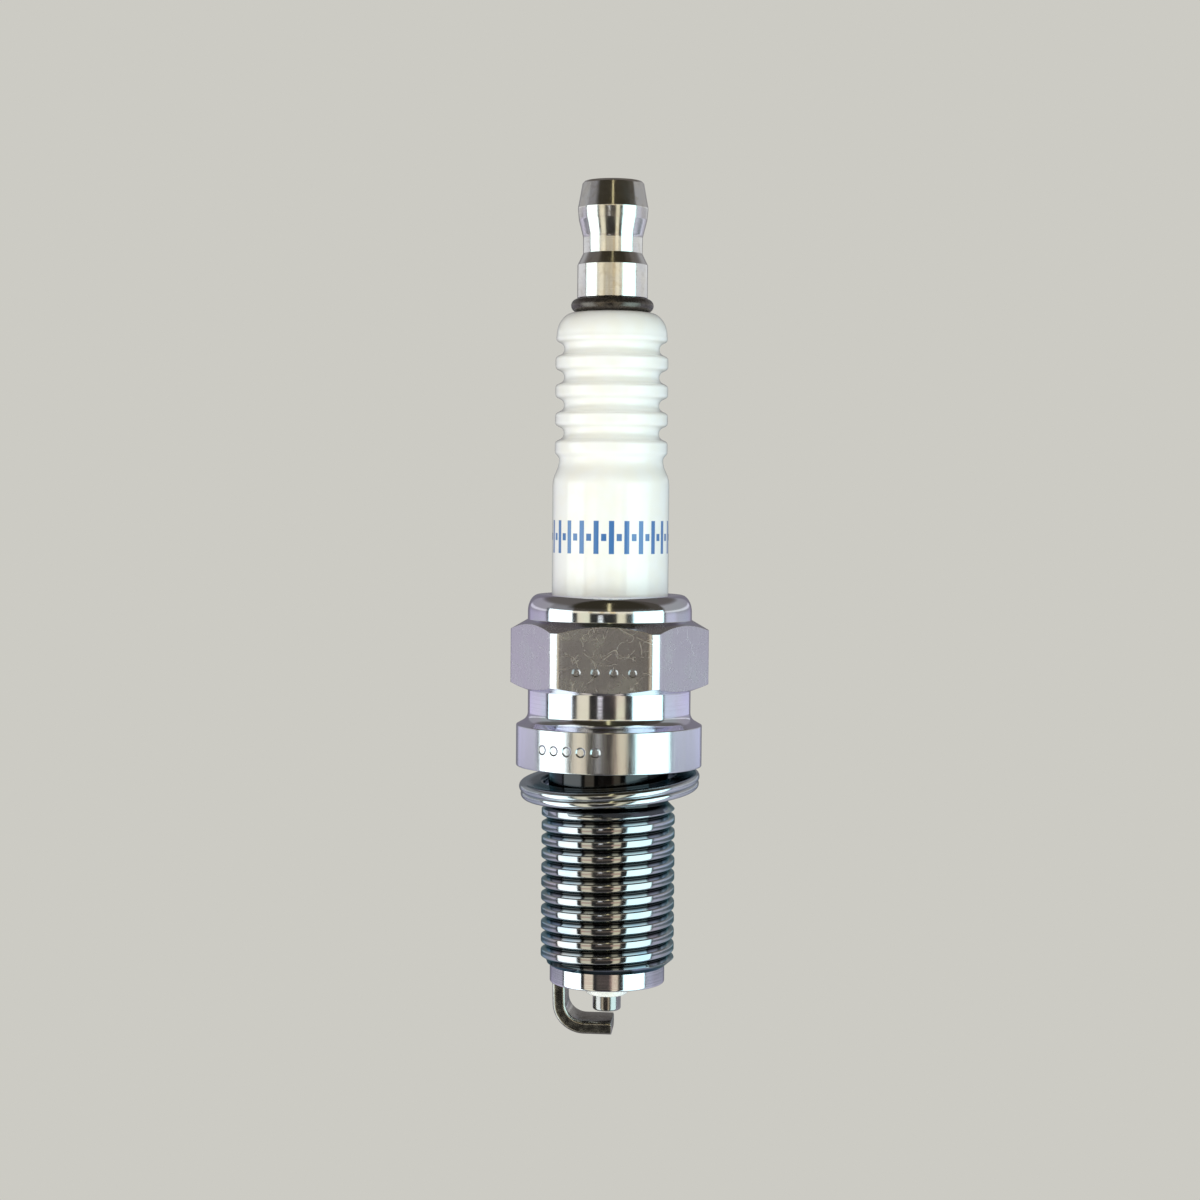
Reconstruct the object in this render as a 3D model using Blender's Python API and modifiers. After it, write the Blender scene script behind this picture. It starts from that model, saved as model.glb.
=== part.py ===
"""Spark plug with a 12 mm thread, a 19 mm reach and a 16 mm hexagon, as an assembly.

The plug stands upright along +Z with its terminal at the top. The origin is the centre of
the flat shoulder under the shell's flange, which the gasket seals. Sizes are in millimetres,
and MM turns them into metres where a mesh is made. Each sub-part is one closed solid.
"""
from math import cos, pi, radians, sin, tan

import bmesh
import bpy
from mathutils import Matrix, Vector

MM = 0.001
SEGMENTS = 32
SLIM_SEGMENTS = 16
WELD = 1e-7
SHARP_ANGLE = radians(32)

# gaps between neighbours, which touch on the real plug
REST_GAP = 0.3
FIT_GAP = 0.1
SHOW_GAP = 0.15

# shell: flange, neck, hexagon and crimped collar
FLANGE_RADIUS = 8.2
FLANGE_TOP = 3.62
FLANGE_CHAMFER = 0.12
NECK_RADIUS = 7.18
NECK_BOTTOM = 4.2
NECK_FILLET = 0.85
HEX_ACROSS_FLATS = 15.5
HEX_TURNED_RADIUS = 8.74
HEX_SHOULDER_TOP = 12.6
HEX_SHOULDER_BOTTOM = 6.91
HEX_TOP_SLOPE = tan(radians(30))
HEX_BOTTOM_SLOPE = 0.387
HEX_TOP_LAND = 6.7
HEX_BOTTOM_LAND = 7.5
HEX_SEGMENTS = 48
CRIMP_RADIUS = 7.23
CRIMP_START = 13.6
CRIMP_TOP = 15.1
CRIMP_LIP_RADIUS = 6.25
CRIMP_LIP_DEPTH = 0.7

# shell: shank below the seat
UNDERCUT_RADIUS = 5.3
THREAD_TOP = -3.2
THREAD_BOTTOM = -17.7
THREAD_RADIUS = 5.9
THREAD_ROOT = 5.4
THREAD_PITCH = 1.25
THREAD_CREST = -3.8
THREAD_CREST_WIDTH = 0.6
THREAD_OVERLAP = 0.1
FLANK_ANGLE = radians(30)
NOSE_RADIUS = 5.08
NOSE_CHAMFER = 0.15
SHELL_END = -19.2

# shell: bore
BORE_RADIUS = 6.25
BORE_TOP = 13.7
BORE_STEP_TOP = 2.85
BORE_STEP_BOTTOM = 1.35
LOWER_BORE_RADIUS = 4.45
NOSE_BORE_RADIUS = 3.75
SEAT_SLOPE = 0.833
LEDGE_DROP = 0.78

# insulator
BARREL_RADIUS = 5.13
BARREL_TOP = 25.2
SHOULDER_RADIUS = 6.05
SHOULDER_RAMP_TOP = 10.0
SHOULDER_TOP = 9.0
SHOULDER_BOTTOM = 3.2
SHOULDER_FOOT = 1.6
SEAT_RADIUS = 4.25
SEAT_TOP = -6.3
SEAT_BOTTOM = -7.05
GROOVE_COUNT = 5
GROOVE_PITCH = 2.46
FIRST_GROOVE = 26.78
FIRST_GROOVE_RADIUS = 4.57
FIRST_GROOVE_HALF_FLOOR = 0.3
GROOVE_RADIUS = 4.17
GROOVE_HALF_FLOOR = 0.36
GROOVE_HALF_MOUTH = 0.74
GROOVE_FILLET = 0.5
RIB_RADIUS = 4.95
RIB_FILLET = 0.35
HEAD_RADIUS = 4.86
HEAD_WIDEST = 37.75
INSULATOR_TOP = 39.8
INSULATOR_FLAT_RADIUS = 3.3
NOSE_TIP_RADIUS = 1.85
NOSE_TIP_CHAMFER = 0.25
NOSE_TIP = -20.35
INSULATOR_BORE = 1.95
TIP_BORE = 1.35
TIP_BORE_TOP = -5.45

# conductors inside the insulator
SHANK_RADIUS = 1.85
SHANK_BOTTOM = 12.3
ELECTRODE_RADIUS = 1.25
ELECTRODE_TIP = -21.75
ELECTRODE_CHAMFER = 0.15
ELECTRODE_HEAD_RADIUS = 1.75
ELECTRODE_HEAD_BOTTOM = -5.15
ELECTRODE_HEAD_TOP = -3.2
CORE_RADIUS = 0.7
CORE_BOTTOM = -19.6
LOWER_SEAL_TOP = 0.9
RESISTOR_TOP = 8.9

# terminal stud and its nut
COLLAR_RADIUS = 3.62
COLLAR_BULGE = 0.58
COLLAR_TOP = 41.0
STUD_THREAD_RADIUS = 1.95
STUD_THREAD_ROOT = 1.55
STUD_THREAD_PITCH = 0.7
STUD_CREST_WIDTH = 0.0875
STUD_TOP = 49.4
NUT_RADIUS = 3.09
NUT_TOP = 51.25
NUT_OUTLINE = (
    (2.5, 51.25),
    (2.7, 51.05, 0.1),
    (2.93, 49.75, 0.3),
    (3.09, 48.9, 0.6),
    (3.0, 47.9, 0.8),
    (2.62, 46.4, 1.2),
    (2.6, 44.95),
    (3.09, 43.95),
)
NUT_BORE_RADIUS = 2.1
NUT_BORE_TOP = 49.7
NUT_BORE_CONE = 0.6

# packings between the insulator and the shell
WIRE_RADIUS = 0.4
WIRE_RING_RADIUS = 5.75
LOWER_RING_HEIGHT = 10.17
UPPER_RING_HEIGHT = 13.17
WASHER_THICKNESS = 0.52
WASHER_DROP = 0.13
WASHER_CLEARANCE = 0.15

# gasket, cocked on the neck until it is screwed down
GASKET_RADIUS = 8.0
GASKET_BORE = 5.75
GASKET_THICKNESS = 1.48
GASKET_BEAD = 0.44
GASKET_BORE_CHAMFER = (0.25, 0.35)
GASKET_LOWER_STEP = 0.1
GASKET_SEAT_GAP = 0.25
GASKET_TILT = radians(5.2)
GASKET_CONTACT = radians(47)
GASKET_CONTACT_RADIUS = 7.6

# ground electrode, a strip bent under the centre electrode and leaning back a little
STRAP_THICKNESS = 1.2
STRAP_WIDTH = 2.7
STRAP_OUTER_FACE = -4.75
STRAP_TIP = 0.45
STRAP_BOTTOM = -23.85
STRAP_BEND_RADIUS = 2.8
STRAP_EDGE = 0.2
STRAP_SHARP = radians(50)
STRAP_LEAN = radians(10)
STRAP_TURN = radians(-3)


def new_collection(name):
    collection = bpy.data.collections.new(name)
    bpy.context.scene.collection.children.link(collection)
    return collection


def finish_of(name, colour, roughness, metallic):
    """A Principled material with one colour, roughness and metallic value."""
    material = bpy.data.materials.new(name)
    material.use_nodes = True
    shader = material.node_tree.nodes["Principled BSDF"]
    shader.inputs["Base Color"].default_value = (*colour, 1.0)
    shader.inputs["Roughness"].default_value = roughness
    shader.inputs["Metallic"].default_value = metallic
    return material


def add_object(name, mesh, collection):
    body = bpy.data.objects.new(name, mesh)
    collection.objects.link(body)
    return body


def add_helper(name, mesh):
    """A cutter or a shape that a Boolean uses, drawn as wire and never rendered."""
    body = add_object(name, mesh, HELPERS)
    body.hide_render = True
    body.display_type = "WIRE"
    return body


def arc(centre, radii, start, end, steps):
    """Points (radius, height) along an elliptical arc from start to end degrees."""
    points = []
    for step in range(steps + 1):
        angle = radians(start + (end - start) * step / steps)
        points.append((centre[0] + radii[0] * cos(angle), centre[1] + radii[1] * sin(angle)))
    return points


def rounded(corners, steps):
    """An open outline through (radius, height, fillet) corners, with arcs at filleted ones."""
    outline = []
    for index, corner in enumerate(corners):
        here = Vector(corner[:2])
        if len(corner) == 2:
            outline.append(tuple(here))
            continue
        fillet = corner[2]
        back = (Vector(corners[index - 1][:2]) - here).normalized()
        ahead = (Vector(corners[index + 1][:2]) - here).normalized()
        half = back.angle(ahead) / 2
        centre = here + (back + ahead).normalized() * fillet / sin(half)
        start = here + back * fillet / tan(half) - centre
        end = here + ahead * fillet / tan(half) - centre
        turn = -start.angle_signed(end)
        for step in range(steps + 1):
            spoke = Matrix.Rotation(turn * step / steps, 2) @ start
            outline.append(tuple(centre + spoke))
    return outline


def outline_mesh(name, outline, closed):
    """Edges through (radius, height) points in the XZ plane, at +X."""
    mesh = bpy.data.meshes.new(name)
    corners = [(radius * MM, 0.0, height * MM) for radius, height in outline]
    edges = [(index, index + 1) for index in range(len(corners) - 1)]
    if closed:
        edges.append((len(corners) - 1, 0))
    mesh.from_pydata(corners, edges, [])
    return mesh


def add_turn(body, segments):
    turn = body.modifiers.new("Turn", "SCREW")
    turn.axis = "Z"
    turn.angle = 2 * pi
    turn.steps = segments
    turn.render_steps = segments
    turn.use_merge_vertices = True
    turn.merge_threshold = WELD
    return turn


def turned(name, outline, segments=SEGMENTS, hollow=False):
    """A body turned about Z from an outline listed down its outer side.

    A hollow body's outline goes on up its inner side and closes on itself.
    """
    body = add_object(name, outline_mesh(name, outline, hollow), PARTS)
    add_turn(body, segments)
    return body


def turned_helper(name, outline, segments=SEGMENTS):
    body = add_helper(name, outline_mesh(name, outline, False))
    add_turn(body, segments)
    return body


def combine(body, other, operation):
    boolean = body.modifiers.new(operation.title(), "BOOLEAN")
    boolean.operation = operation
    boolean.solver = "EXACT"
    boolean.object = other


def evaluated_mesh(body):
    bpy.context.view_layer.update()
    graph = bpy.context.evaluated_depsgraph_get()
    return bpy.data.meshes.new_from_object(body.evaluated_get(graph))


def threaded_rod(name, crest, crest_width, crest_radius, root_radius, pitch, span, segments):
    """A right-hand threaded rod with 60 degree flanks, reaching past both ends of its span.

    crest is the height of one crest where the thread passes the front, at -Y.
    """
    crest_half = crest_width / 2
    flank = (crest_radius - root_radius) * tan(FLANK_ANGLE)
    height = crest + pitch / 4
    while height > span[0] - pitch:
        height -= pitch
    tooth = [
        (crest_radius, height + crest_half),
        (crest_radius, height - crest_half),
        (root_radius, height - crest_half - flank),
        (root_radius, height + crest_half + flank - pitch),
        (crest_radius, height + crest_half - pitch),
    ]
    wound = add_helper(name, outline_mesh(name, tooth, False))
    turn = add_turn(wound, segments)
    turn.screw_offset = pitch * MM
    turn.iterations = int((span[1] - height) / pitch) + 3
    mesh = evaluated_mesh(wound)
    bpy.data.objects.remove(wound)
    cage = bmesh.new()
    cage.from_mesh(mesh)
    bmesh.ops.remove_doubles(cage, verts=cage.verts, dist=WELD)
    bmesh.ops.holes_fill(cage, edges=cage.edges, sides=0)
    bmesh.ops.recalc_face_normals(cage, faces=cage.faces)
    cage.to_mesh(mesh)
    cage.free()
    return add_helper(name, mesh)


def settle(body, material):
    """Apply a body's modifiers, shade it and give it its material."""
    mesh = evaluated_mesh(body)
    body.modifiers.clear()
    body.data = mesh
    mesh.shade_smooth()
    mesh.set_sharp_from_angle(angle=SHARP_ANGLE)
    mesh.materials.clear()
    mesh.materials.append(material)
    return body


def hexagon_envelope():
    """What a lathe leaves of the hexagon: its turned corners and a cone at each end."""
    apothem = HEX_ACROSS_FLATS / 2
    top = HEX_SHOULDER_TOP + (apothem - HEX_TOP_LAND) * HEX_TOP_SLOPE
    upper = HEX_SHOULDER_TOP - (HEX_TURNED_RADIUS - apothem) * HEX_TOP_SLOPE
    lower = HEX_SHOULDER_BOTTOM + (HEX_TURNED_RADIUS - apothem) * HEX_BOTTOM_SLOPE
    bottom = HEX_SHOULDER_BOTTOM - (apothem - HEX_BOTTOM_LAND) * HEX_BOTTOM_SLOPE
    return turned_helper(
        "hexagon_envelope",
        [
            (0, top),
            (HEX_TOP_LAND, top),
            (HEX_TURNED_RADIUS, upper),
            (HEX_TURNED_RADIUS, lower),
            (HEX_BOTTOM_LAND, bottom),
            (0, bottom),
        ],
        segments=HEX_SEGMENTS,
    )


def hexagon_helper():
    """The spanner hexagon: a six-sided bar turned down to its envelope."""
    corner = HEX_ACROSS_FLATS / 2 / cos(radians(30))
    beyond = HEX_ACROSS_FLATS / 2 * HEX_TOP_SLOPE
    bottom = HEX_SHOULDER_BOTTOM - beyond
    top = HEX_SHOULDER_TOP + beyond
    cage = bmesh.new()
    bmesh.ops.create_cone(
        cage,
        cap_ends=True,
        segments=6,
        radius1=corner * MM,
        radius2=corner * MM,
        depth=(top - bottom) * MM,
        matrix=Matrix.Translation((0, 0, (top + bottom) / 2 * MM))
        @ Matrix.Rotation(radians(30), 4, "Z"),
    )
    mesh = bpy.data.meshes.new("hexagon_shape")
    cage.to_mesh(mesh)
    cage.free()
    hexagon = add_helper("hexagon_shape", mesh)
    combine(hexagon, hexagon_envelope(), "INTERSECT")
    return hexagon


def shell_outline():
    """The shell's outer side without its hexagon and thread, from the crimp to the nose."""
    lip = arc(
        (CRIMP_LIP_RADIUS, CRIMP_START),
        (CRIMP_RADIUS - CRIMP_LIP_RADIUS, CRIMP_TOP - CRIMP_START),
        90,
        0,
        5,
    )
    middle = (HEX_SHOULDER_TOP + HEX_SHOULDER_BOTTOM) / 2
    neck = rounded(
        [
            (NECK_RADIUS, middle),
            (NECK_RADIUS, NECK_BOTTOM, NECK_FILLET),
            (FLANGE_RADIUS, FLANGE_TOP),
        ],
        steps=3,
    )
    return [
        (0, CRIMP_TOP),
        *lip,
        (CRIMP_RADIUS, middle),
        *neck,
        (FLANGE_RADIUS, FLANGE_CHAMFER),
        (FLANGE_RADIUS - FLANGE_CHAMFER, 0),
        (UNDERCUT_RADIUS, 0),
        (UNDERCUT_RADIUS, THREAD_TOP),
        (THREAD_ROOT - THREAD_OVERLAP, THREAD_TOP),
        (THREAD_ROOT - THREAD_OVERLAP, THREAD_BOTTOM),
        (NOSE_RADIUS, THREAD_BOTTOM),
        (NOSE_RADIUS, SHELL_END + NOSE_CHAMFER),
        (NOSE_RADIUS - NOSE_CHAMFER, SHELL_END),
        (0, SHELL_END),
    ]


def seat_height(radius, offset):
    """Height of the insulator's seat cone at a radius, lowered by an offset."""
    return SEAT_TOP + (radius - SEAT_RADIUS) * SEAT_SLOPE - offset


def bore_outline():
    """The shell's inner side, a little past both of its ends."""
    mouth = BARREL_RADIUS + SHOW_GAP
    return [
        (0, CRIMP_TOP + 1),
        (mouth, CRIMP_TOP + 1),
        (mouth, CRIMP_TOP - CRIMP_LIP_DEPTH),
        (BORE_RADIUS, BORE_TOP),
        (BORE_RADIUS, BORE_STEP_TOP),
        (LOWER_BORE_RADIUS, BORE_STEP_BOTTOM),
        (LOWER_BORE_RADIUS, seat_height(LOWER_BORE_RADIUS, LEDGE_DROP)),
        (NOSE_BORE_RADIUS, seat_height(NOSE_BORE_RADIUS, LEDGE_DROP)),
        (NOSE_BORE_RADIUS, SHELL_END - 1),
        (0, SHELL_END - 1),
    ]


def thread_envelope(name, radius, top, bottom, segments):
    """What a thread is cut from: a bar with a 45 degree cone at each end.

    top and bottom are the (radius, height) points where the cones start.
    """
    beyond = radius + THREAD_OVERLAP
    return turned_helper(
        name,
        [
            (0, top[1]),
            top,
            (beyond, top[1] - (beyond - top[0])),
            (beyond, bottom[1] + (beyond - bottom[0])),
            bottom,
            (0, bottom[1]),
        ],
        segments,
    )


def make_shell():
    shell = turned("metal_shell", shell_outline())
    rod = threaded_rod(
        "shell_thread",
        THREAD_CREST,
        THREAD_CREST_WIDTH,
        THREAD_RADIUS,
        THREAD_ROOT,
        THREAD_PITCH,
        (THREAD_BOTTOM, THREAD_TOP),
        SEGMENTS,
    )
    envelope = thread_envelope(
        "thread_envelope",
        THREAD_RADIUS,
        (UNDERCUT_RADIUS - THREAD_OVERLAP, THREAD_TOP + THREAD_OVERLAP),
        (NOSE_RADIUS - THREAD_OVERLAP, THREAD_BOTTOM - THREAD_OVERLAP),
        SEGMENTS,
    )
    combine(rod, envelope, "INTERSECT")
    combine(shell, hexagon_helper(), "UNION")
    combine(shell, rod, "UNION")
    combine(shell, turned_helper("shell_bore", bore_outline()), "DIFFERENCE")
    return settle(shell, finish_of("zinc_plated_steel", (0.62, 0.61, 0.68), 0.25, 1.0))


def groove_corners(height):
    """The corners of one groove between two ribs, from its upper lip to its lower lip."""
    return [
        (RIB_RADIUS, height + GROOVE_HALF_MOUTH, RIB_FILLET),
        (GROOVE_RADIUS, height + GROOVE_HALF_FLOOR, GROOVE_FILLET),
        (GROOVE_RADIUS, height - GROOVE_HALF_FLOOR, GROOVE_FILLET),
        (RIB_RADIUS, height - GROOVE_HALF_MOUTH, RIB_FILLET),
    ]


def ribbed_outline():
    """The insulator's head from its rounded top down through the ribs to the barrel."""
    head = arc(
        (INSULATOR_FLAT_RADIUS, HEAD_WIDEST),
        (HEAD_RADIUS - INSULATOR_FLAT_RADIUS, INSULATOR_TOP - HEAD_WIDEST),
        90,
        0,
        5,
    )
    corners = [(HEAD_RADIUS, HEAD_WIDEST)]
    for groove in reversed(range(1, GROOVE_COUNT)):
        corners += groove_corners(FIRST_GROOVE + GROOVE_PITCH * groove)
    corners += [
        (RIB_RADIUS, FIRST_GROOVE + GROOVE_HALF_MOUTH, RIB_FILLET),
        (FIRST_GROOVE_RADIUS, FIRST_GROOVE + FIRST_GROOVE_HALF_FLOOR, GROOVE_FILLET),
        (FIRST_GROOVE_RADIUS, FIRST_GROOVE - FIRST_GROOVE_HALF_FLOOR, GROOVE_FILLET),
        (BARREL_RADIUS, BARREL_TOP, GROOVE_FILLET),
        (BARREL_RADIUS, SHOULDER_RAMP_TOP),
    ]
    return head[:-1] + rounded(corners, steps=1)


def make_insulator():
    outer = [
        *ribbed_outline(),
        (SHOULDER_RADIUS, SHOULDER_TOP),
        (SHOULDER_RADIUS, SHOULDER_BOTTOM),
        (SEAT_RADIUS, SHOULDER_FOOT),
        (SEAT_RADIUS, SEAT_TOP),
        (SEAT_RADIUS + (SEAT_BOTTOM - SEAT_TOP) / SEAT_SLOPE, SEAT_BOTTOM),
        (NOSE_TIP_RADIUS, NOSE_TIP + NOSE_TIP_CHAMFER),
        (NOSE_TIP_RADIUS - NOSE_TIP_CHAMFER, NOSE_TIP),
    ]
    inner = [
        (TIP_BORE, NOSE_TIP),
        (TIP_BORE, TIP_BORE_TOP),
        (INSULATOR_BORE, TIP_BORE_TOP),
        (INSULATOR_BORE, INSULATOR_TOP),
    ]
    insulator = turned("insulator", outer + inner, hollow=True)
    return settle(insulator, finish_of("glazed_ceramic", (0.92, 0.91, 0.87), 0.12, 0.0))


def make_stud():
    """The terminal stud: a shank down the insulator, a collar on top of it and a thread."""
    collar_bottom = INSULATOR_TOP + SHOW_GAP
    stud = turned(
        "terminal_stud",
        [
            (0, STUD_TOP - STUD_THREAD_PITCH),
            (STUD_THREAD_ROOT - THREAD_OVERLAP, STUD_TOP - STUD_THREAD_PITCH),
            (STUD_THREAD_ROOT - THREAD_OVERLAP, COLLAR_TOP),
            *arc(
                (COLLAR_RADIUS - COLLAR_BULGE, COLLAR_TOP - COLLAR_BULGE),
                (COLLAR_BULGE, COLLAR_BULGE),
                90,
                -45,
                5,
            ),
            (COLLAR_RADIUS - COLLAR_BULGE, collar_bottom),
            (SHANK_RADIUS, collar_bottom),
            (SHANK_RADIUS, SHANK_BOTTOM),
            (0, SHANK_BOTTOM),
        ],
        segments=SLIM_SEGMENTS,
    )
    rod = threaded_rod(
        "stud_thread",
        STUD_TOP - STUD_THREAD_PITCH,
        STUD_CREST_WIDTH,
        STUD_THREAD_RADIUS,
        STUD_THREAD_ROOT,
        STUD_THREAD_PITCH,
        (COLLAR_TOP, STUD_TOP),
        SLIM_SEGMENTS,
    )
    start = STUD_THREAD_ROOT - THREAD_OVERLAP
    envelope = thread_envelope(
        "stud_envelope",
        STUD_THREAD_RADIUS,
        (start, STUD_TOP),
        (start, COLLAR_TOP - THREAD_OVERLAP),
        SLIM_SEGMENTS,
    )
    combine(rod, envelope, "INTERSECT")
    combine(stud, rod, "UNION")
    return settle(stud, finish_of("oxidised_steel", (0.09, 0.085, 0.08), 0.35, 1.0))


def make_nut():
    """The removable terminal nut: a barrel, a waist, and a bulb that a plug cap clips on."""
    bottom = COLLAR_TOP + SHOW_GAP
    outline = [
        (0, NUT_TOP),
        *rounded(NUT_OUTLINE, steps=2),
        (NUT_RADIUS, bottom),
        (NUT_BORE_RADIUS, bottom),
        (NUT_BORE_RADIUS, NUT_BORE_TOP),
        (0, NUT_BORE_TOP + NUT_BORE_CONE),
    ]
    nut = turned("terminal_nut", outline)
    return settle(nut, finish_of("nickel_plated_brass", (0.78, 0.76, 0.7), 0.15, 1.0))


def make_inner_rod(name, radius, bottom, top, material):
    """A plain round plug in the insulator's bore, such as a seal or the resistor."""
    outline = [(0, top), (radius, top), (radius, bottom), (0, bottom)]
    return settle(turned(name, outline, segments=SLIM_SEGMENTS), material)


def make_centre_electrode():
    """A nickel sheath with a head, and a blind bore from above for its copper core."""
    sheath = turned(
        "centre_electrode",
        [
            (0, CORE_BOTTOM - REST_GAP),
            (CORE_RADIUS + FIT_GAP, CORE_BOTTOM - REST_GAP),
            (CORE_RADIUS + FIT_GAP, ELECTRODE_HEAD_TOP),
            (ELECTRODE_HEAD_RADIUS, ELECTRODE_HEAD_TOP),
            (ELECTRODE_HEAD_RADIUS, ELECTRODE_HEAD_BOTTOM),
            (ELECTRODE_RADIUS, ELECTRODE_HEAD_BOTTOM),
            (ELECTRODE_RADIUS, ELECTRODE_TIP + ELECTRODE_CHAMFER),
            (ELECTRODE_RADIUS - ELECTRODE_CHAMFER, ELECTRODE_TIP),
            (0, ELECTRODE_TIP),
        ],
        segments=SLIM_SEGMENTS,
    )
    return settle(sheath, finish_of("nickel_alloy", (0.42, 0.41, 0.38), 0.3, 1.0))


def make_packing_ring(name, height, material):
    """A ring of round wire between the insulator and the shell."""
    wire = arc((WIRE_RING_RADIUS, height), (WIRE_RADIUS, WIRE_RADIUS), 90, -270, 8)[:-1]
    return settle(turned(name, wire, hollow=True), material)


def make_talc():
    """The ring of pressed powder between the two packing rings."""
    clear = WIRE_RADIUS + FIT_GAP
    top = UPPER_RING_HEIGHT - clear
    bottom = LOWER_RING_HEIGHT + clear
    outer = BORE_RADIUS - FIT_GAP
    inner = BARREL_RADIUS + FIT_GAP
    outline = [(outer, top), (outer, bottom), (inner, bottom), (inner, top)]
    talc = turned("talc_packing", outline, hollow=True)
    return settle(talc, finish_of("pressed_talc", (0.8, 0.8, 0.76), 0.9, 0.0))


def make_seat_washer():
    """The cone-shaped washer that the insulator's seat presses on a ledge in the shell."""
    inner = NOSE_BORE_RADIUS + FIT_GAP
    outer = LOWER_BORE_RADIUS - WASHER_CLEARANCE
    below = WASHER_DROP + WASHER_THICKNESS
    outline = [
        (outer, seat_height(outer, WASHER_DROP)),
        (outer, seat_height(outer, below)),
        (inner, seat_height(inner, below)),
        (inner, seat_height(inner, WASHER_DROP)),
    ]
    washer = turned("insulator_seat_washer", outline, hollow=True)
    return settle(washer, finish_of("mild_steel", (0.5, 0.5, 0.5), 0.4, 1.0))


def gasket_outline():
    """The folded gasket's section: two beads on its rim and a rounded bore."""
    top = -GASKET_SEAT_GAP
    bottom = top - GASKET_THICKNESS
    bead = (GASKET_BEAD, GASKET_BEAD)
    across = GASKET_RADIUS - GASKET_BEAD
    upper_bead = arc((across, top - GASKET_BEAD), bead, 90, -50, 4)
    lower_bead = arc((across - GASKET_LOWER_STEP, bottom + GASKET_BEAD), bead, 50, -90, 4)
    inset, drop = GASKET_BORE_CHAMFER
    inner = [
        (GASKET_BORE + inset, bottom),
        (GASKET_BORE, bottom + drop),
        (GASKET_BORE, top - drop),
        (GASKET_BORE + inset, top),
    ]
    return upper_bead + lower_bead + inner


def make_gasket():
    """The loose gasket, whose origin is on the line where its rim meets the flange."""
    gasket = turned("gasket", gasket_outline(), hollow=True)
    settle(gasket, finish_of("plated_soft_steel", (0.66, 0.66, 0.68), 0.22, 1.0))
    outward = Vector((cos(GASKET_CONTACT), sin(GASKET_CONTACT), 0))
    contact = outward * GASKET_CONTACT_RADIUS * MM
    gasket.data.transform(Matrix.Translation(-contact))
    along_rim = Vector((-sin(GASKET_CONTACT), cos(GASKET_CONTACT), 0))
    gasket.location = contact
    gasket.rotation_euler = Matrix.Rotation(-GASKET_TILT, 3, along_rim).to_euler()
    return gasket


def strap_outline():
    """The bent strip's side view, from its weld down its outer face and back inside.

    It starts inside the shell's end, and is trimmed there once the strip leans.
    """
    inner_radius = STRAP_BEND_RADIUS - STRAP_THICKNESS
    centre = (STRAP_OUTER_FACE + STRAP_BEND_RADIUS, STRAP_BOTTOM + STRAP_BEND_RADIUS)
    top = SHELL_END + STRAP_WIDTH
    return [
        (STRAP_OUTER_FACE, top),
        *arc(centre, (STRAP_BEND_RADIUS, STRAP_BEND_RADIUS), 180, 270, 7),
        (STRAP_TIP, STRAP_BOTTOM),
        (STRAP_TIP, STRAP_BOTTOM + STRAP_THICKNESS),
        *arc(centre, (inner_radius, inner_radius), 270, 180, 7),
        (STRAP_OUTER_FACE + STRAP_THICKNESS, top),
    ]


def strap_mesh():
    """The strip as wide as it is, upright, with its bend in the XZ plane."""
    curve = bpy.data.curves.new("strap_outline", "CURVE")
    curve.dimensions = "2D"
    curve.fill_mode = "BOTH"
    curve.extrude = STRAP_WIDTH / 2 * MM
    outline = strap_outline()
    spline = curve.splines.new("POLY")
    spline.points.add(len(outline) - 1)
    for point, (along, height) in zip(spline.points, outline):
        point.co = (along * MM, height * MM, 0.0, 1.0)
    spline.use_cyclic_u = True
    drawn = add_object("strap_outline", curve, PARTS)
    mesh = evaluated_mesh(drawn)
    bpy.data.objects.remove(drawn)
    return mesh


def make_ground_electrode():
    mesh = strap_mesh()
    strap = add_object("ground_electrode", mesh, PARTS)
    weld = Vector((0, 0, SHELL_END * MM))
    lean = Matrix.Rotation(STRAP_LEAN, 4, "X")
    about_weld = Matrix.Translation(weld) @ lean @ Matrix.Translation(-weld)
    turn = Matrix.Rotation(STRAP_TURN, 4, "Z") @ about_weld @ Matrix.Rotation(pi / 2, 4, "X")
    cage = bmesh.new()
    cage.from_mesh(mesh)
    bmesh.ops.remove_doubles(cage, verts=cage.verts, dist=WELD)
    bmesh.ops.recalc_face_normals(cage, faces=cage.faces)
    bmesh.ops.dissolve_limit(
        cage, angle_limit=radians(0.5), verts=cage.verts, edges=cage.edges
    )
    corners = [
        edge
        for edge in cage.edges
        if len(edge.link_faces) == 2 and edge.calc_face_angle() > STRAP_SHARP
    ]
    bmesh.ops.bevel(
        cage,
        geom=corners,
        offset=STRAP_EDGE * MM,
        offset_type="OFFSET",
        segments=2,
        profile=0.5,
        affect="EDGES",
    )
    bmesh.ops.transform(cage, matrix=turn, verts=cage.verts)
    trimmed = bmesh.ops.bisect_plane(
        cage,
        geom=cage.verts[:] + cage.edges[:] + cage.faces[:],
        plane_co=weld - Vector((0, 0, FIT_GAP * MM)),
        plane_no=(0, 0, 1),
        clear_outer=True,
    )
    rim = [item for item in trimmed["geom_cut"] if isinstance(item, bmesh.types.BMEdge)]
    bmesh.ops.contextual_create(cage, geom=rim)
    bmesh.ops.recalc_face_normals(cage, faces=cage.faces)
    cage.to_mesh(mesh)
    cage.free()
    return settle(strap, finish_of("heat_tinted_nickel", (0.3, 0.28, 0.22), 0.4, 1.0))


for leftover in list(bpy.data.objects):
    bpy.data.objects.remove(leftover)
PARTS = new_collection("spark_plug")
HELPERS = new_collection("cutters")

glass = finish_of("conductive_glass", (0.12, 0.12, 0.13), 0.3, 0.0)
steel_wire = finish_of("packing_wire", (0.55, 0.55, 0.55), 0.35, 1.0)

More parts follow.
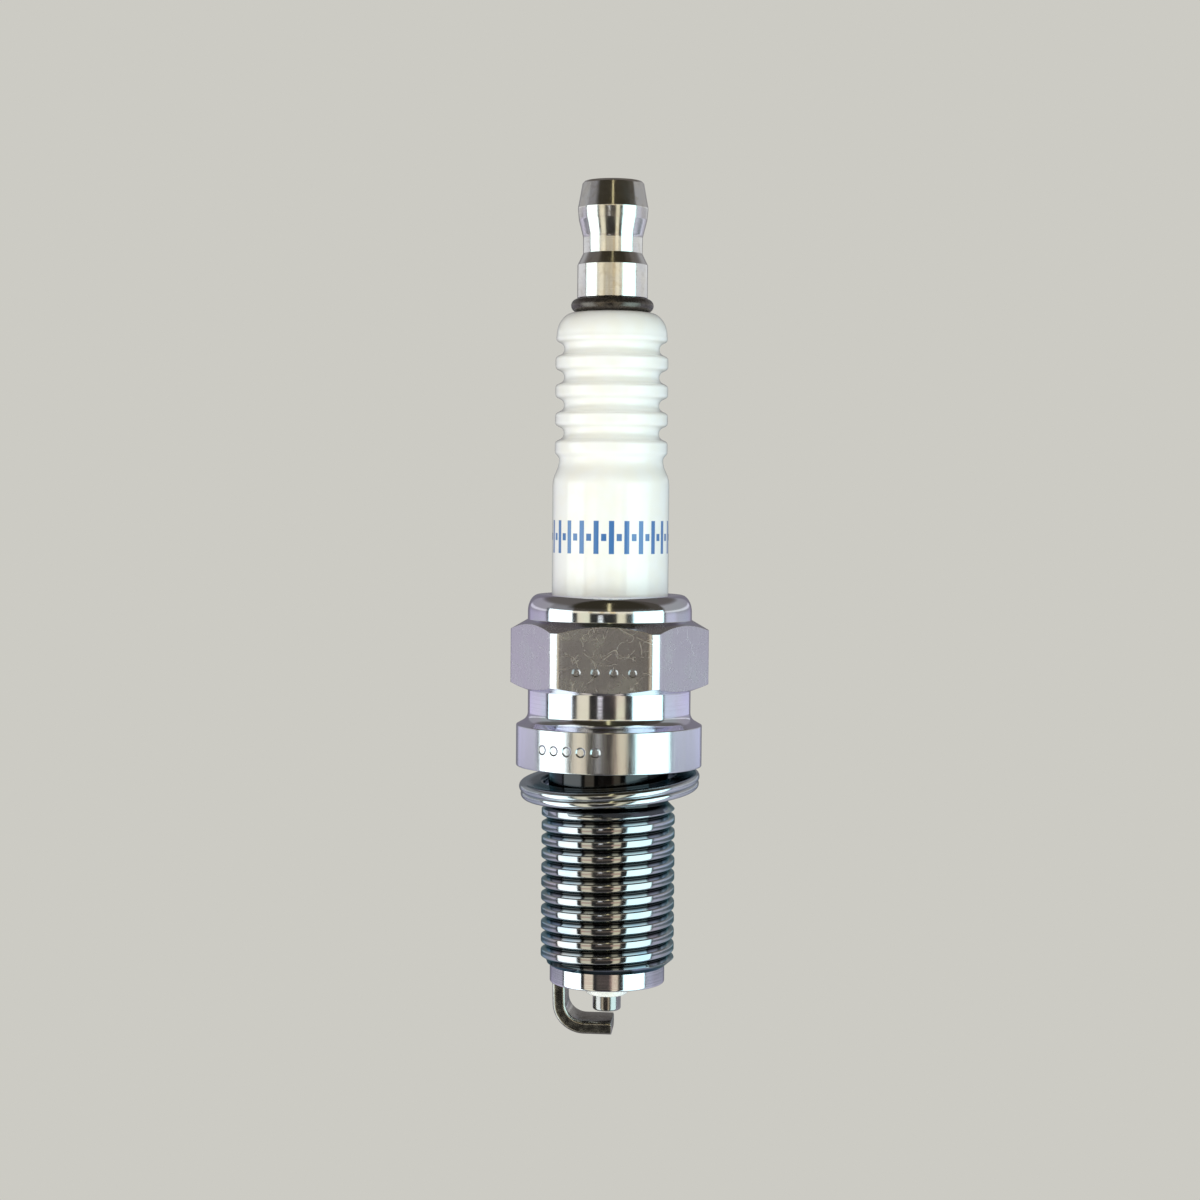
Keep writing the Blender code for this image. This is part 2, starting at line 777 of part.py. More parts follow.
make_shell()
make_gasket()
make_ground_electrode()
make_insulator()
make_seat_washer()
make_packing_ring("lower_packing_ring", LOWER_RING_HEIGHT, steel_wire)
make_talc()
make_packing_ring("upper_packing_ring", UPPER_RING_HEIGHT, steel_wire)
make_centre_electrode()
make_inner_rod(
    "centre_electrode_core",
    CORE_RADIUS,
    CORE_BOTTOM,
    ELECTRODE_HEAD_TOP - FIT_GAP,
    finish_of("copper", (0.75, 0.38, 0.24), 0.3, 1.0),
)
make_inner_rod(
    "lower_glass_seal",
    SHANK_RADIUS,
    ELECTRODE_HEAD_TOP + REST_GAP,
    LOWER_SEAL_TOP,
    glass,
)
make_inner_rod(
    "resistor",
    SHANK_RADIUS,
    LOWER_SEAL_TOP + REST_GAP,
    RESISTOR_TOP,
    finish_of("resistor_ceramic", (0.16, 0.15, 0.14), 0.7, 0.0),
)
make_inner_rod(
    "upper_glass_seal",
    SHANK_RADIUS,
    RESISTOR_TOP + REST_GAP,
    SHANK_BOTTOM - REST_GAP,
    glass,
)
make_stud()
make_nut()
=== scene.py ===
"""Looks of a spark plug: detailed pieces, materials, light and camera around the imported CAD."""
from math import acos, cos, pi, radians, sin, tan

import bmesh
import bpy
from mathutils import Matrix, Vector


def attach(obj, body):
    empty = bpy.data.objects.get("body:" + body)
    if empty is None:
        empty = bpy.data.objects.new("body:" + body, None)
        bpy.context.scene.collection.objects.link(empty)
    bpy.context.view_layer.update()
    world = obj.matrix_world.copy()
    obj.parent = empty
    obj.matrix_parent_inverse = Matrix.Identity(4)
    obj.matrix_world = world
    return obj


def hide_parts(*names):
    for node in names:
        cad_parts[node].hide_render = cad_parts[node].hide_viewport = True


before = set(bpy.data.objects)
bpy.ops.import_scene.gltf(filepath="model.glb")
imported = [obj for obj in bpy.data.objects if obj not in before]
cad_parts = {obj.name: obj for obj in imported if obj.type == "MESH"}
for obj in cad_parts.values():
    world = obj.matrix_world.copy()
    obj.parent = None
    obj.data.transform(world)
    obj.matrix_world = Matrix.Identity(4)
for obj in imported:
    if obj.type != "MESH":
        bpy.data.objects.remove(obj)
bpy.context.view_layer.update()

MM = 0.001
WELD = 2e-7
SHARP_ANGLE = radians(33)
TURN = 2 * pi

# The plug's sizes are in millimetres, and z = 0 is the flange's underside.

# hexagon, with corners turned on a lathe and a cone at each end
HEX_APOTHEM = 7.75
HEX_TURNED_RADIUS = 8.74
HEX_HALF_FLAT = acos(HEX_APOTHEM / HEX_TURNED_RADIUS)
HEX_SHOULDER_TOP = 12.6
HEX_SHOULDER_BOTTOM = 6.91
HEX_TOP_SLOPE = tan(radians(30))
HEX_BOTTOM_SLOPE = 0.387
HEX_BOTTOM_LAND = 7.5

# shell above and below the hexagon
CRIMP_RADIUS = 7.23
CRIMP_LIP_RADIUS = 6.25
CRIMP_START = 13.6
CRIMP_TOP = 15.1
NECK_RADIUS = 7.18
NECK_BOTTOM = 4.2
NECK_FILLET = 0.85
FLANGE_RADIUS = 8.2
FLANGE_TOP = 3.62
FLANGE_EDGE = 0.12
FLANGE_SIDE_BOTTOM = 0.05

# shell thread
THREAD_TOP = -3.2
THREAD_BOTTOM = -17.7
THREAD_RADIUS = 5.9
THREAD_ROOT = 5.4
THREAD_PITCH = 1.25
THREAD_CREST = -3.8
THREAD_CREST_WIDTH = 0.6
THREAD_FILLETS = (0.17, 0.03)
THREAD_TURNS = 17
UNDERCUT_RADIUS = 5.3
NOSE_RADIUS = 5.08
SHELL_END = -19.2

# shell bore, from the crimped mouth down to the firing end
MOUTH_RADIUS = 5.28
MOUTH_BOTTOM = 14.4
BORE_RADIUS = 6.25
BORE_TOP = 13.7
BORE_BOTTOM = 2.85
LOWER_BORE_RADIUS = 4.45
LOWER_BORE_TOP = 1.35
LOWER_BORE_BOTTOM = -6.9
NOSE_BORE_RADIUS = 3.75
NOSE_BORE_TOP = -8.0

# insulator, from its head down to its nose
HEAD_TOP = 39.8
HEAD_START = 37.75
HEAD_RADIUS = 4.86
HEAD_FACE_RADIUS = 3.3
RIB_RADIUS = 4.95
RIB_FILLET = 0.36
GROOVE_COUNT = 5
GROOVE_PITCH = 2.46
GROOVE_HALF_MOUTH = 0.74
LOWEST_GROOVE = 26.78
# a groove floor's radius, half height, and upper and lower fillets
GROOVE_FLOOR = (4.17, 0.36, 0.56, 0.56)
LOWEST_GROOVE_FLOOR = (4.57, 0.3, 0.45, 1.9)
BARREL_RADIUS = 5.13
BARREL_TOP = 25.2
BARREL_FILLET = 2.6
BARREL_BOTTOM = 10.2
SHOULDER_RADIUS = 6.05
SHOULDER_TOP = 9.0
SHOULDER_BOTTOM = 3.2
LOWER_BODY_RADIUS = 4.25
LOWER_BODY_TOP = 1.6
LOWER_BODY_BOTTOM = -6.3
CERAMIC_NOSE_RADIUS = 3.35
CERAMIC_NOSE_TOP = -7.05
CERAMIC_TIP_RADIUS = 1.85
CERAMIC_TIP = -20.35
STUD_BORE_RADIUS = 1.95
ELECTRODE_BORE_RADIUS = 1.35
BORE_STEP = -5.45

# printed marks round the barrel
PRINT_HEIGHT = 20.2
PRINT_COUNT = 24
BAR_HALF_HEIGHT = 1.40
DOT_HALF_HEIGHT = 0.28
PRINT_EDGE = 0.06

# terminal nut
NUT_TOP = 51.25
NUT_BARREL_RADIUS = 3.09
NUT_BARREL_TOP = 43.95
NUT_BOTTOM = 41.03
NUT_BORE_RADIUS = 2.1
NUT_BORE_TOP = 49.7
NUT_BORE_TIP = 50.3

# terminal stud
STUD_THREAD_RADIUS = 1.95
STUD_THREAD_ROOT = 1.55
STUD_THREAD_PITCH = 0.7
STUD_THREAD_TURNS = 15
STUD_THREAD_FILLETS = (0.03, 0.05)
STUD_THREAD_TOP = 49.3
STUD_THREAD_BOTTOM = 41.2
COLLAR_HEIGHT = 40.42
COLLAR_BULGE = 0.58
COLLAR_RADIUS = 3.04
SHANK_RADIUS = 1.85
SHANK_BOTTOM = 12.3

# centre electrode
PIN_RADIUS = 1.25
PIN_TIP = -21.75
PIN_HEAD_RADIUS = 1.75
PIN_HEAD_TOP = -3.2
PIN_HEAD_BOTTOM = -5.15
CORE_BORE_RADIUS = 0.8
CORE_BORE_BOTTOM = -19.9

# gasket, folded from sheet into two beads, and cocked on the neck at rest
GASKET_TOP = -0.25
GASKET_BOTTOM = -1.73
GASKET_BEAD = 0.42
GASKET_RADIUS = 8.0
GASKET_LOWER_RADIUS = 7.9
GASKET_BORE_RADIUS = 5.75
GASKET_TILT = radians(5.2)
GASKET_CONTACT = radians(47)
GASKET_CONTACT_RADIUS = 7.6

# ground electrode, leaning back a little
STRAP_THICKNESS = 1.2
STRAP_WIDTH = 2.7
STRAP_EDGE = 0.3
STRAP_OUTER_FACE = -4.75
STRAP_TIP = 0.45
STRAP_BOTTOM = -23.85
STRAP_BEND_RADIUS = 2.8
STRAP_OVERLAP = 0.6
STRAP_LEAN = radians(10)
STRAP_TURN = radians(-3)


# ---------------------------------------------------------------- shapes


def rounded(corners, steps=4, support=0.0):
    """An outline through (radius, height, fillet) corners, with arcs at the filleted ones.

    A support length adds a point that far beyond both ends of each arc, which keeps the
    straight runs between arcs evenly shaded.
    """
    outline = []
    for index, corner in enumerate(corners):
        here = Vector(corner[:2])
        if len(corner) == 2:
            outline.append(tuple(here))
            continue
        fillet = corner[2]
        back = (Vector(corners[index - 1][:2]) - here).normalized()
        ahead = (Vector(corners[(index + 1) % len(corners)][:2]) - here).normalized()
        half = back.angle(ahead) / 2
        centre = here + (back + ahead).normalized() * fillet / sin(half)
        start = here + back * fillet / tan(half) - centre
        end = here + ahead * fillet / tan(half) - centre
        turn = -start.angle_signed(end)
        if support:
            outline.append(tuple(centre + start + back * support))
        for step in range(steps + 1):
            outline.append(tuple(centre + Matrix.Rotation(turn * step / steps, 2) @ start))
        if support:
            outline.append(tuple(centre + end + ahead * support))
    return outline


def arc(centre, radii, start, end, steps):
    """Points (radius, height) along an elliptical arc from start to end degrees."""
    points = []
    for step in range(steps + 1):
        angle = radians(start + (end - start) * step / steps)
        points.append((centre[0] + radii[0] * cos(angle), centre[1] + radii[1] * sin(angle)))
    return points


def even_angles(count):
    return [TURN * step / count for step in range(count + 1)]


def hexagon_angles(flat_steps=20, corner_steps=8):
    """Angles from one flat's middle right round, closer together at the six corners."""
    angles = []
    gap = pi / 3 - 2 * HEX_HALF_FLAT
    for side in range(6):
        start = side * pi / 3 - HEX_HALF_FLAT
        for step in range(flat_steps):
            angles.append(start + 2 * HEX_HALF_FLAT * step / flat_steps)
        for step in range(corner_steps):
            angles.append(start + 2 * HEX_HALF_FLAT + gap * step / corner_steps)
    return angles + [angles[0] + TURN]


def surface(name, angles, outline_at, closed=False):
    """A mesh with one column of vertices for each angle, from outline_at(angle).

    Angle 0 faces -Y and grows towards +X. An outline runs down the outer side; a closed
    one goes on up the inner side to its first point.
    """
    cage = bmesh.new()
    columns = []
    for angle in angles:
        column = []
        for radius, height in outline_at(angle):
            place = (radius * sin(angle) * MM, -radius * cos(angle) * MM, height * MM)
            column.append(cage.verts.new(place))
        if closed:
            column.append(column[0])
        columns.append(column)
    for left, right in zip(columns, columns[1:]):
        for row in range(len(left) - 1):
            cage.faces.new((left[row], left[row + 1], right[row + 1], right[row]))
    bmesh.ops.remove_doubles(cage, verts=cage.verts, dist=WELD)
    bmesh.ops.dissolve_degenerate(cage, edges=cage.edges, dist=WELD)
    mesh = bpy.data.meshes.new(name)
    cage.to_mesh(mesh)
    cage.free()
    return mesh


def add_piece(name, mesh, body, materials, replaced):
    """Put a mesh in the scene as a piece on a CAD body, smooth with sharp creases."""
    mesh.shade_smooth()
    mesh.set_sharp_from_angle(angle=SHARP_ANGLE)
    for material in materials:
        mesh.materials.append(material)
    piece = bpy.data.objects.new(name, mesh)
    bpy.context.scene.collection.objects.link(piece)
    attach(piece, body)
    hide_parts(replaced)


def hexagon_radius(angle):
    """Distance from the axis to the hexagon's side at an angle."""
    off = abs((angle + pi / 6) % (pi / 3) - pi / 6)
    return min(HEX_APOTHEM / cos(off), HEX_TURNED_RADIUS)


def thread_corners(crest, root, width, pitch, start, turns, fillets):
    """Filleted corners of a 60 degree thread's section, downwards from a crest at start.

    width is the crest's, and fillets are those of the crests and of the roots.
    """
    half = width / 2
    flank = (crest - root) * tan(radians(30))
    corners = []
    for turn in range(turns):
        height = start - turn * pitch
        corners += [
            (crest, height + half, fillets[0]),
            (crest, height - half, fillets[0]),
            (root, height - half - flank, fillets[1]),
            (root, height + half + flank - pitch, fillets[1]),
        ]
    return corners


def shell_thread(angle):
    """The shell thread's section at an angle, run out at both ends.

    The first and last corners are dropped, because their fillets have no proper neighbours.
    """
    start = THREAD_CREST + 3 * THREAD_PITCH + THREAD_PITCH * angle / TURN
    corners = thread_corners(
        THREAD_RADIUS,
        THREAD_ROOT,
        THREAD_CREST_WIDTH,
        THREAD_PITCH,
        start,
        THREAD_TURNS,
        THREAD_FILLETS,
    )
    points = []
    for radius, height in rounded(corners, steps=4)[5:-5]:
        if height >= THREAD_TOP:
            points.append((UNDERCUT_RADIUS, THREAD_TOP))
        elif height <= THREAD_BOTTOM:
            points.append((NOSE_RADIUS, THREAD_BOTTOM))
        else:
            top_limit = UNDERCUT_RADIUS + (THREAD_TOP - height)
            bottom_limit = NOSE_RADIUS + (height - THREAD_BOTTOM) * 1.2
            points.append((min(radius, top_limit, bottom_limit), height))
    return points


def shell_upper(angle):
    """The shell's outside at an angle, from the foot of the crimp to the undercut."""
    side = hexagon_radius(angle)
    beyond = side - HEX_APOTHEM
    foot = HEX_SHOULDER_TOP + (HEX_APOTHEM - CRIMP_RADIUS) * HEX_TOP_SLOPE
    upper = HEX_SHOULDER_TOP - beyond * HEX_TOP_SLOPE
    lower = HEX_SHOULDER_BOTTOM + beyond * HEX_BOTTOM_SLOPE
    under = HEX_SHOULDER_BOTTOM - (HEX_APOTHEM - HEX_BOTTOM_LAND) * HEX_BOTTOM_SLOPE
    return rounded(
        [
            (CRIMP_RADIUS, CRIMP_START - 0.1),
            (CRIMP_RADIUS, foot, 0.08),
            (side, upper, 0.06),
            (side, lower, 0.06),
            (HEX_BOTTOM_LAND, under, 0.05),
            (NECK_RADIUS, under, 0.12),
            (NECK_RADIUS, NECK_BOTTOM, NECK_FILLET),
            (FLANGE_RADIUS, FLANGE_TOP, 0.1),
            (FLANGE_RADIUS, 0.0, FLANGE_EDGE),
            (UNDERCUT_RADIUS, 0.0, 0.2),
            (UNDERCUT_RADIUS, THREAD_TOP),
        ],
        steps=4,
        support=0.02,
    )


def shell_outline(angle):
    """The shell's section at an angle, down its outside and up its bore."""
    lip = (CRIMP_RADIUS - CRIMP_LIP_RADIUS, CRIMP_TOP - CRIMP_START)
    crimp = arc((CRIMP_LIP_RADIUS, CRIMP_START), lip, 90, 0, 14)
    nose = rounded(
        [
            (NOSE_RADIUS, THREAD_BOTTOM),
            (NOSE_RADIUS, SHELL_END, 0.15),
            (NOSE_BORE_RADIUS, SHELL_END, 0.12),
            (NOSE_BORE_RADIUS, NOSE_BORE_TOP),
            (LOWER_BORE_RADIUS, LOWER_BORE_BOTTOM),
            (LOWER_BORE_RADIUS, LOWER_BORE_TOP),
            (BORE_RADIUS, BORE_BOTTOM),
            (BORE_RADIUS, BORE_TOP),
            (MOUTH_RADIUS, MOUTH_BOTTOM),
            (MOUTH_RADIUS, CRIMP_TOP, 0.2),
            (CRIMP_LIP_RADIUS, CRIMP_TOP),
        ],
        steps=4,
        support=0.02,
    )
    return crimp + shell_upper(angle) + shell_thread(angle) + nose


def make_shell(materials):
    """The shell, whose hexagon, thread and flange have their own materials after the plating."""
    mesh = surface("metal_shell_detail", hexagon_angles(), shell_outline, closed=True)
    add_piece("shell", mesh, "plug_body", materials, "metal_shell")
    for face in mesh.polygons:
        height = face.center.z / MM
        radius = face.center.xy.length / MM
        if HEX_SHOULDER_BOTTOM < height < HEX_SHOULDER_TOP and radius > HEX_BOTTOM_LAND:
            face.material_index = 1
        elif THREAD_BOTTOM < height < FLANGE_SIDE_BOTTOM:
            face.material_index = 2
        elif FLANGE_SIDE_BOTTOM < height < FLANGE_TOP and radius > NECK_RADIUS:
            face.material_index = 3


def ribbed_corners():
    """Filleted corners of the ribs and grooves, from the head down to the barrel.

    The lowest groove is shallower, and a soft ramp leads from it out to the barrel.
    """
    corners = [(HEAD_RADIUS, HEAD_START)]
    for groove in reversed(range(GROOVE_COUNT)):
        height = LOWEST_GROOVE + GROOVE_PITCH * groove
        floor, half, upper, lower = GROOVE_FLOOR if groove else LOWEST_GROOVE_FLOOR
        corners += [
            (RIB_RADIUS, height + GROOVE_HALF_MOUTH, RIB_FILLET),
            (floor, height + half, upper),
            (floor, height - half, lower),
        ]
        if groove:
            corners.append((RIB_RADIUS, height - GROOVE_HALF_MOUTH, RIB_FILLET))
    return corners + [(BARREL_RADIUS, BARREL_TOP, BARREL_FILLET)]


def insulator_outline(_angle):
    """The insulator's section, down its outside and up its stepped bore."""
    shoulder = (HEAD_RADIUS - HEAD_FACE_RADIUS, HEAD_TOP - HEAD_START)
    head = arc((HEAD_FACE_RADIUS, HEAD_START), shoulder, 90, 0, 14)
    body = [
        (BARREL_RADIUS, BARREL_BOTTOM, 0.6),
        (SHOULDER_RADIUS, SHOULDER_TOP, 0.3),
        (SHOULDER_RADIUS, SHOULDER_BOTTOM, 0.3),
        (LOWER_BODY_RADIUS, LOWER_BODY_TOP, 0.4),
        (LOWER_BODY_RADIUS, LOWER_BODY_BOTTOM, 0.1),
        (CERAMIC_NOSE_RADIUS, CERAMIC_NOSE_TOP, 0.3),
        (CERAMIC_TIP_RADIUS, CERAMIC_TIP, 0.3),
    ]
    bore = [
        (ELECTRODE_BORE_RADIUS, CERAMIC_TIP, 0.08),
        (ELECTRODE_BORE_RADIUS, BORE_STEP),
        (STUD_BORE_RADIUS, BORE_STEP),
        (STUD_BORE_RADIUS, HEAD_TOP, 0.1),
        (HEAD_FACE_RADIUS, HEAD_TOP),
    ]
    return head[:-1] + rounded(ribbed_corners() + body + bore, steps=6, support=0.01)


def nut_outline(_angle):
    """The terminal nut's section: tapered top, bulb, waist, barrel and blind bore."""
    bulb = [
        (2.5, NUT_TOP, 0.08),
        (2.7, NUT_TOP - 0.2, 0.12),
        (2.93, 49.75, 0.2),
        (NUT_BARREL_RADIUS, 48.9, 0.6),
        (3.0, 47.9, 0.8),
    ]
    waist = [(2.62, 46.4, 1.2), (2.6, NUT_BARREL_TOP + 1.0, 0.08)]
    barrel = [
        (NUT_BARREL_RADIUS, NUT_BARREL_TOP, 0.1),
        (NUT_BARREL_RADIUS, NUT_BOTTOM, 0.08),
    ]
    bore = [
        (NUT_BORE_RADIUS, NUT_BOTTOM, 0.08),
        (NUT_BORE_RADIUS, NUT_BORE_TOP),
        (0, NUT_BORE_TIP),
    ]
    return rounded([(0, NUT_TOP)] + bulb + waist + barrel + bore, steps=6, support=0.015)


def stud_thread(angle):
    """The stud's M4 thread at an angle, run out at both ends."""
    start = STUD_THREAD_TOP + STUD_THREAD_PITCH * (1 + angle / TURN)
    corners = thread_corners(
        STUD_THREAD_RADIUS,
        STUD_THREAD_ROOT,
        STUD_THREAD_PITCH / 8,
        STUD_THREAD_PITCH,
        start,
        STUD_THREAD_TURNS,
        STUD_THREAD_FILLETS,
    )
    points = []
    for radius, height in rounded(corners, steps=2)[3:-3]:
        height = min(max(height, STUD_THREAD_BOTTOM), STUD_THREAD_TOP)
        run_out = min(STUD_THREAD_TOP - height, height - STUD_THREAD_BOTTOM)
        points.append((min(radius, STUD_THREAD_ROOT + run_out), height))
    return points


def stud_outline(angle):
    """The terminal stud's section: its thread, bulging collar and shank."""
    centre = (COLLAR_RADIUS, COLLAR_HEIGHT)
    bulge = (COLLAR_BULGE, COLLAR_BULGE)
    tip = [(0, STUD_THREAD_TOP + 0.1), (STUD_THREAD_ROOT - 0.1, STUD_THREAD_TOP + 0.1)]
    collar = [(STUD_THREAD_ROOT, COLLAR_HEIGHT + COLLAR_BULGE), *arc(centre, bulge, 90, -75, 18)]
    collar_bottom = COLLAR_HEIGHT - COLLAR_BULGE
    shank = rounded(
        [
            (COLLAR_RADIUS + 0.06, collar_bottom),
            (SHANK_RADIUS, collar_bottom),
            (SHANK_RADIUS, SHANK_BOTTOM, 0.2),
            (0, SHANK_BOTTOM),
        ]
    )
    return tip + stud_thread(angle) + collar + shank


def gasket_outline(_angle):
    """The folded crush ring's section: two beads on its rim over a flat-sided bore."""
    top, bottom, bead = GASKET_TOP, GASKET_BOTTOM, GASKET_BEAD
    upper = arc((GASKET_RADIUS - bead, top - bead), (bead, bead), 100, -52, 10)
    lower = arc((GASKET_LOWER_RADIUS - bead, bottom + bead), (bead, bead), 52, -100, 10)
    middle = [(7.55, (top + bottom) / 2 - 0.02)]
    inner = rounded(
        [
            (6.9, bottom + 0.03),
            (GASKET_BORE_RADIUS, bottom, 0.35),
            (GASKET_BORE_RADIUS, top, 0.35),
            (6.9, top - 0.03),
        ],
        steps=5,
    )
    return upper + middle + lower + inner


def make_gasket(material):
    """The gasket, turned about the point where its rim meets the flange."""
    mesh = surface("gasket_detail", even_angles(180), gasket_outline, closed=True)
    outward = Vector((cos(GASKET_CONTACT), sin(GASKET_CONTACT), 0))
    contact = Matrix.Translation(outward * GASKET_CONTACT_RADIUS * MM)
    along_rim = Vector((-sin(GASKET_CONTACT), cos(GASKET_CONTACT), 0))
    tilt = Matrix.Rotation(-GASKET_TILT, 4, along_rim)
    mesh.transform(contact @ tilt @ contact.inverted())
    add_piece("crush_gasket", mesh, "gasket", [material], "gasket")


def electrode_outline(_angle):
    """The centre electrode's section, up the core's bore and down its outside to the tip."""
    corners = [
        (CORE_BORE_RADIUS, CORE_BORE_BOTTOM),
        (CORE_BORE_RADIUS, PIN_HEAD_TOP),
        (PIN_HEAD_RADIUS, PIN_HEAD_TOP, 0.1),
        (PIN_HEAD_RADIUS, PIN_HEAD_BOTTOM, 0.1),
        (PIN_RADIUS, PIN_HEAD_BOTTOM),
        (PIN_RADIUS, PIN_TIP, 0.22),
        (0, PIN_TIP),
    ]
    return [(0, CORE_BORE_BOTTOM)] + rounded(corners, steps=5, support=0.02)


def strap_path():
    """(along, height, tangent angle) stations down the strap's middle line."""
    leg = STRAP_OUTER_FACE + STRAP_THICKNESS / 2
    bar = STRAP_BOTTOM + STRAP_THICKNESS / 2
    bend = STRAP_BEND_RADIUS - STRAP_THICKNESS / 2
    centre = (leg + bend, bar + bend)
    stations = [(leg, SHELL_END + STRAP_OVERLAP, 180), (leg, SHELL_END - STRAP_OVERLAP, 180)]
    bend_steps, bar_steps = 24, 4
    for step in range(bend_steps + 1):
        angle = 180 + 90 * step / bend_steps
        along = centre[0] + bend * cos(radians(angle))
        height = centre[1] + bend * sin(radians(angle))
        stations.append((along, height, angle))
    for step in range(1, bar_steps + 1):
        stations.append((centre[0] + (STRAP_TIP - centre[0]) * step / bar_steps, bar, 270))
    return stations


def strap_section():
    """The rolled strip's section, flat with rounded edges, as (across, through) points."""
    edge = STRAP_EDGE
    side, face = STRAP_WIDTH / 2 - edge, STRAP_THICKNESS / 2 - edge
    edge_steps = 6
    section = []
    for corner, (across, through) in enumerate(((1, 1), (-1, 1), (-1, -1), (1, -1))):
        for step in range(edge_steps + 1):
            angle = radians(90 * (corner + step / edge_steps))
            point = (across * side + edge * cos(angle), through * face + edge * sin(angle))
            section.append(point)
    return section


def trim_strap(cage):
    """Cut the strip off level at the shell's end and close it."""
    trimmed = bmesh.ops.bisect_plane(
        cage,
        geom=cage.verts[:] + cage.edges[:] + cage.faces[:],
        plane_co=(0, 0, (SHELL_END - 0.02) * MM),
        plane_no=(0, 0, 1),
        clear_outer=True,
    )
    rim = [item for item in trimmed["geom_cut"] if isinstance(item, bmesh.types.BMEdge)]
    bmesh.ops.contextual_create(cage, geom=rim)


def make_strap(material):
    """A rolled nickel strip with soft edges, welded under the shell and bent to the gap."""
    section = strap_section()
    cage = bmesh.new()
    rings = []
    for along, height, angle in strap_path():
        outward = Vector((cos(radians(angle)), 0, sin(radians(angle))))
        ring = []
        for across, through in section:
            place = Vector((along, across, height)) + outward * through
            ring.append(cage.verts.new(place * MM))
        rings.append(ring)
    for upper, lower in zip(rings, rings[1:]):
        for index in range(len(section)):
            following = (index + 1) % len(section)
            cage.faces.new((upper[index], upper[following], lower[following], lower[index]))
    cage.faces.new(list(reversed(rings[0])))
    end = cage.faces.new(rings[-1])
    bmesh.ops.bevel(
        cage,
        geom=list(end.edges),
        offset=0.07 * MM,
        offset_type="OFFSET",
        segments=2,
        profile=0.5,
        affect="EDGES",
    )
    weld = Vector((0, 0, SHELL_END * MM))
    lean = Matrix.Translation(weld) @ Matrix.Rotation(STRAP_LEAN, 4, "X")
    turn = Matrix.Rotation(STRAP_TURN, 4, "Z")
    bmesh.ops.transform(cage, matrix=turn @ lean @ Matrix.Translation(-weld), verts=cage.verts)
    trim_strap(cage)
    bmesh.ops.recalc_face_normals(cage, faces=cage.faces)
    mesh = bpy.data.meshes.new("ground_electrode_detail")
    cage.to_mesh(mesh)
    cage.free()
    add_piece(
        "ground_strap", mesh, "plug_body", [material], "ground_electrode"
    )


# ---------------------------------------------------------------- materials


class Graph:
    """Short calls for building one material's nodes."""

    def __init__(self, tree):
        self.tree = tree

    def add(self, kind, settings=None, **sockets):
        """A node whose sockets are fed by name, or by number as i0, i1 and so on."""
        node = self.tree.nodes.new(kind)
        for key, value in (settings or {}).items():
            setattr(node, key, value)
        for key, value in sockets.items():
            numbered = key[0] == "i" and key[1:].isdigit()
            socket = node.inputs[int(key[1:]) if numbered else key.replace("_", " ")]
            self.feed(socket, value)
        return node

    def feed(self, socket, value):
        if isinstance(value, bpy.types.NodeSocket):
            self.tree.links.new(value, socket)
        else:
            socket.default_value = value

    def maths(self, operation, *values):
        node = self.tree.nodes.new("ShaderNodeMath")
        node.operation = operation
        for socket, value in zip(node.inputs, values):
            self.feed(socket, value)
        return node.outputs[0]

    def ramp(self, value, low, high, start=0.0, end=1.0):
        """value's way from low to high, as a smooth step from start to end."""
        node = self.add(
            "ShaderNodeMapRange",
            {"interpolation_type": "SMOOTHSTEP"},
            i0=value,
            i1=low,
            i2=high,
            i3=start,
            i4=end,
        )
        return node.outputs[0]

    def mix(self, share, first, second):
        node = self.tree.nodes.new("ShaderNodeMix")
        node.data_type = "RGBA"
        self.feed(node.inputs[0], share)
        for socket, value in ((node.inputs[6], first), (node.inputs[7], second)):
            self.feed(socket, (*value, 1.0) if isinstance(value, tuple) else value)
        return node.outputs[2]

    def noise(self, place, scale, detail=2.0, roughness=0.5):
        node = self.add(
            "ShaderNodeTexNoise", Vector=place, Scale=scale, Detail=detail, Roughness=roughness
        )
        return node.outputs["Fac"]

    def bump(self, height, strength, distance, normal=None):
        sockets = {"Height": height, "Strength": strength, "Distance": distance}
        if normal is not None:
            sockets["Normal"] = normal
        return self.add("ShaderNodeBump", None, **sockets).outputs[0]


def new_material(name, colour, roughness, metallic):
    """A Principled material; returns it with its graph, shader and object coordinates."""
    material = bpy.data.materials.new(name)
    material.use_nodes = True
    graph = Graph(material.node_tree)
    shader = material.node_tree.nodes["Principled BSDF"]
    shader.inputs["Base Color"].default_value = (*colour, 1.0)
    shader.inputs["Roughness"].default_value = roughness
    shader.inputs["Metallic"].default_value = metallic
    place = graph.add("ShaderNodeTexCoord").outputs["Object"]
    return material, graph, shader, place


def split(graph, place):
    """The x, y and z sockets of a place."""
    return graph.add("ShaderNodeSeparateXYZ", i0=place).outputs


def angle_round(graph, parts):
    """The angle round the plug's axis, 0 at -Y and growing towards +X."""
    return graph.maths("ARCTAN2", parts[0], graph.maths("MULTIPLY", parts[1], -1.0))


def stretched(graph, place, factors):
    return graph.add("ShaderNodeMapping", None, Vector=place, Scale=factors).outputs[0]


def painted_shade_share(graph, parts, shade):
    """Painted shade: 0 in the depths of a thread, painted dark as if in shadow, and 1 on its
    crests, by distance from the axis.
    """
    squares = graph.maths(
        "ADD",
        graph.maths("POWER", parts[0], 2.0),
        graph.maths("POWER", parts[1], 2.0),
    )
    return graph.ramp(graph.maths("SQRT", squares), shade[0] * MM, shade[1] * MM)


def dot_row(graph, along, height, centres, level, size):
    """1 on a row of round dots, at the given distances along and one height, in millimetres."""
    dots = 0.0
    rise = graph.maths("POWER", graph.maths("SUBTRACT", height, level), 2.0)
    for centre in centres:
        run = graph.maths("POWER", graph.maths("SUBTRACT", along, centre), 2.0)
        distance = graph.maths("SQRT", graph.maths("ADD", run, rise))
        dots = graph.maths("MAXIMUM", dots, graph.ramp(distance, size * 1.15, size * 0.75))
    return dots


